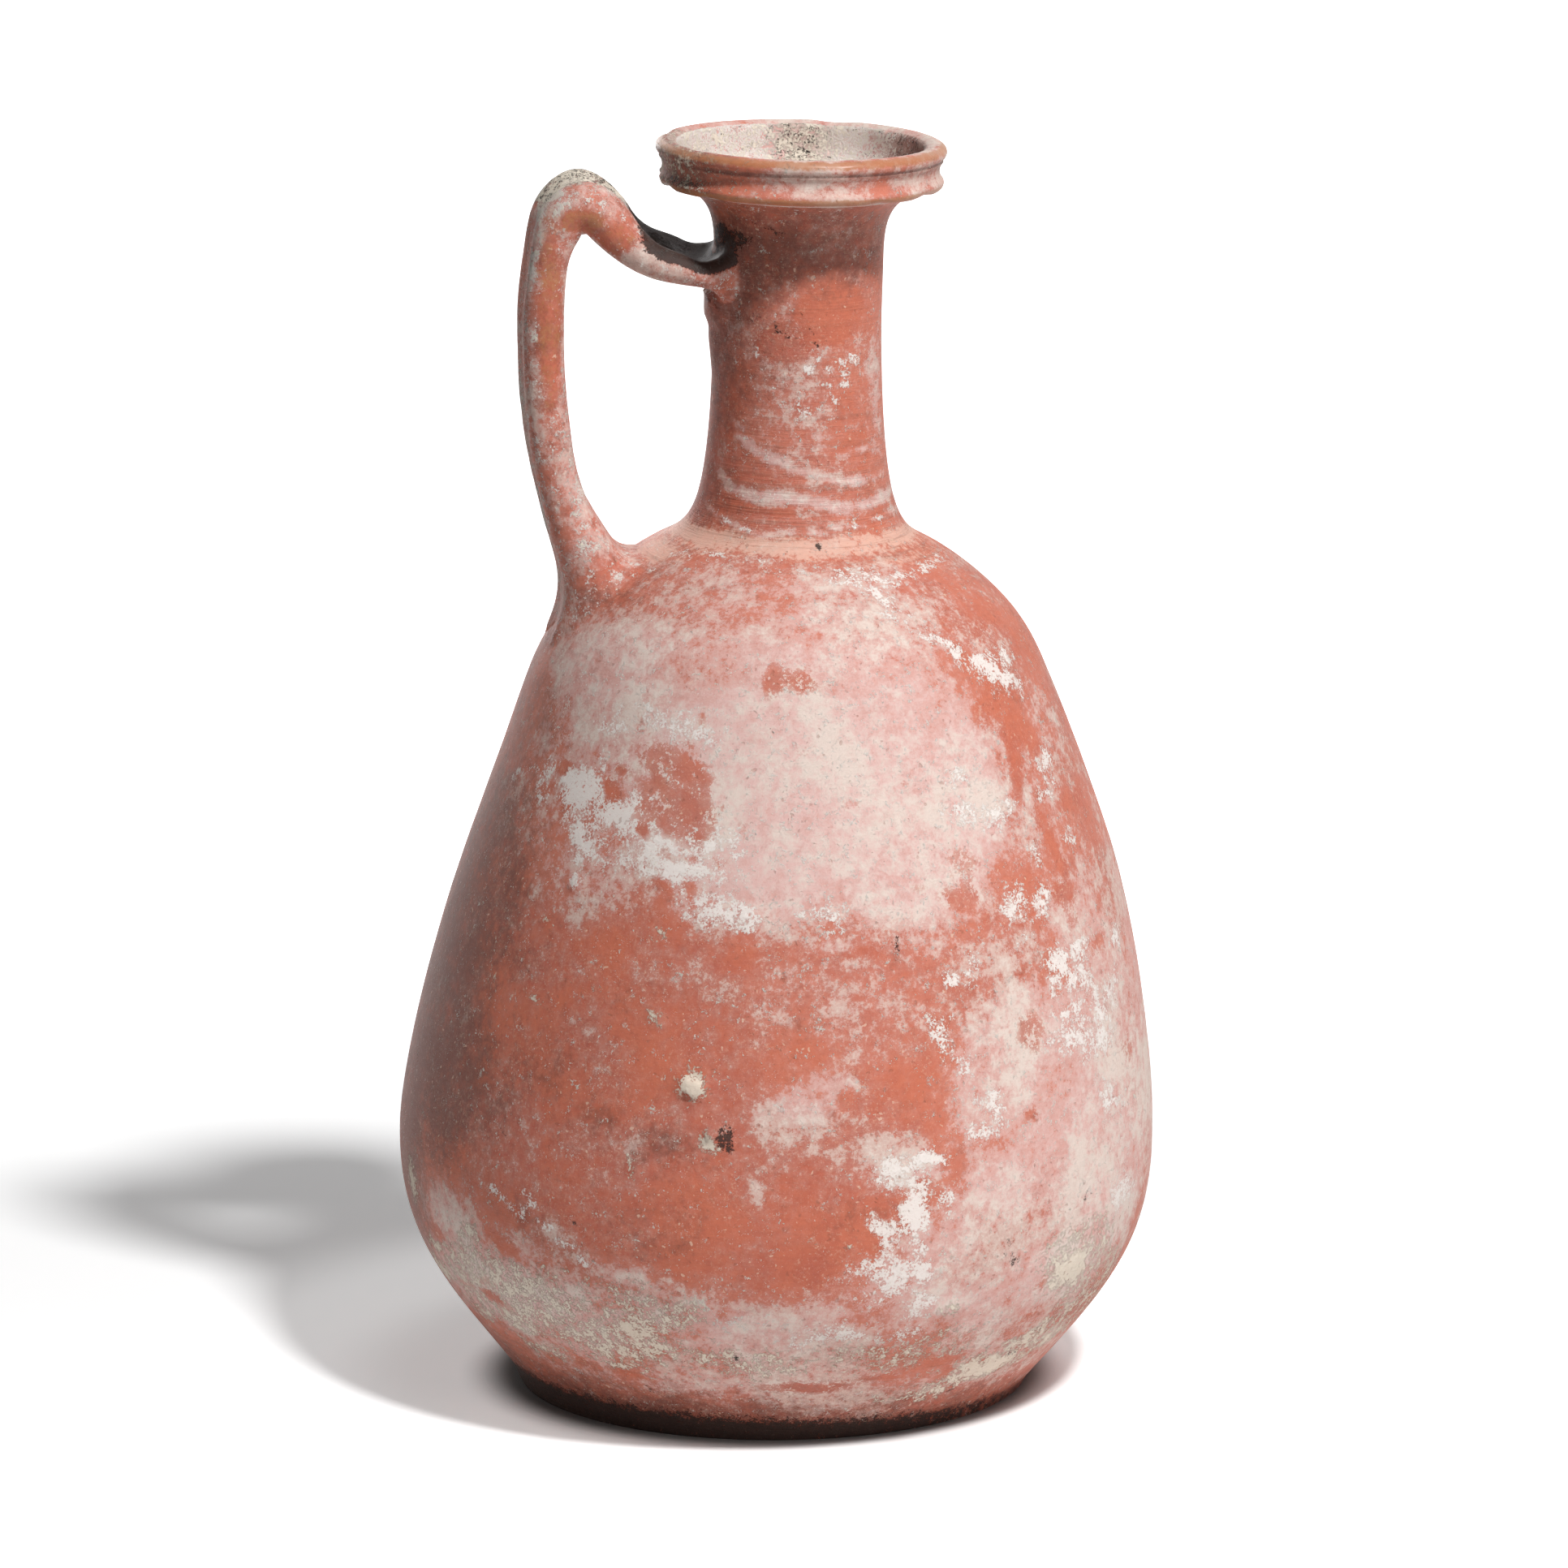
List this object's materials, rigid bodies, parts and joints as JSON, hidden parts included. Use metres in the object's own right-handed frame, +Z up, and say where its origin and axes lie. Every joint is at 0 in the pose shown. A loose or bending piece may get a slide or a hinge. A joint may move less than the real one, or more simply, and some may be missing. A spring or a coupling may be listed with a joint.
{
  "type": "pottery jug",
  "caption": "Fired clay jug with a pear-shaped belly, narrow neck, flanged rim and ribbed strap handle, its red slip worn and bloomed with lime.",
  "frame": {"origin": "centre of the level face that the foot ring rests on", "axes": "+Z up; the handle is towards -X, turned 6 degrees towards -Y; the turning axis leans 1.45 degrees towards +X; the pictured side faces -Y"},
  "size_m": [0.129, 0.129, 0.2146],
  "materials": {
    "fired_clay": "matt red slip, worn, with pale lime bloom and crust"
  },
  "bodies": {
    "root": {"jug": "fired_clay"}
  },
  "joints": []
}
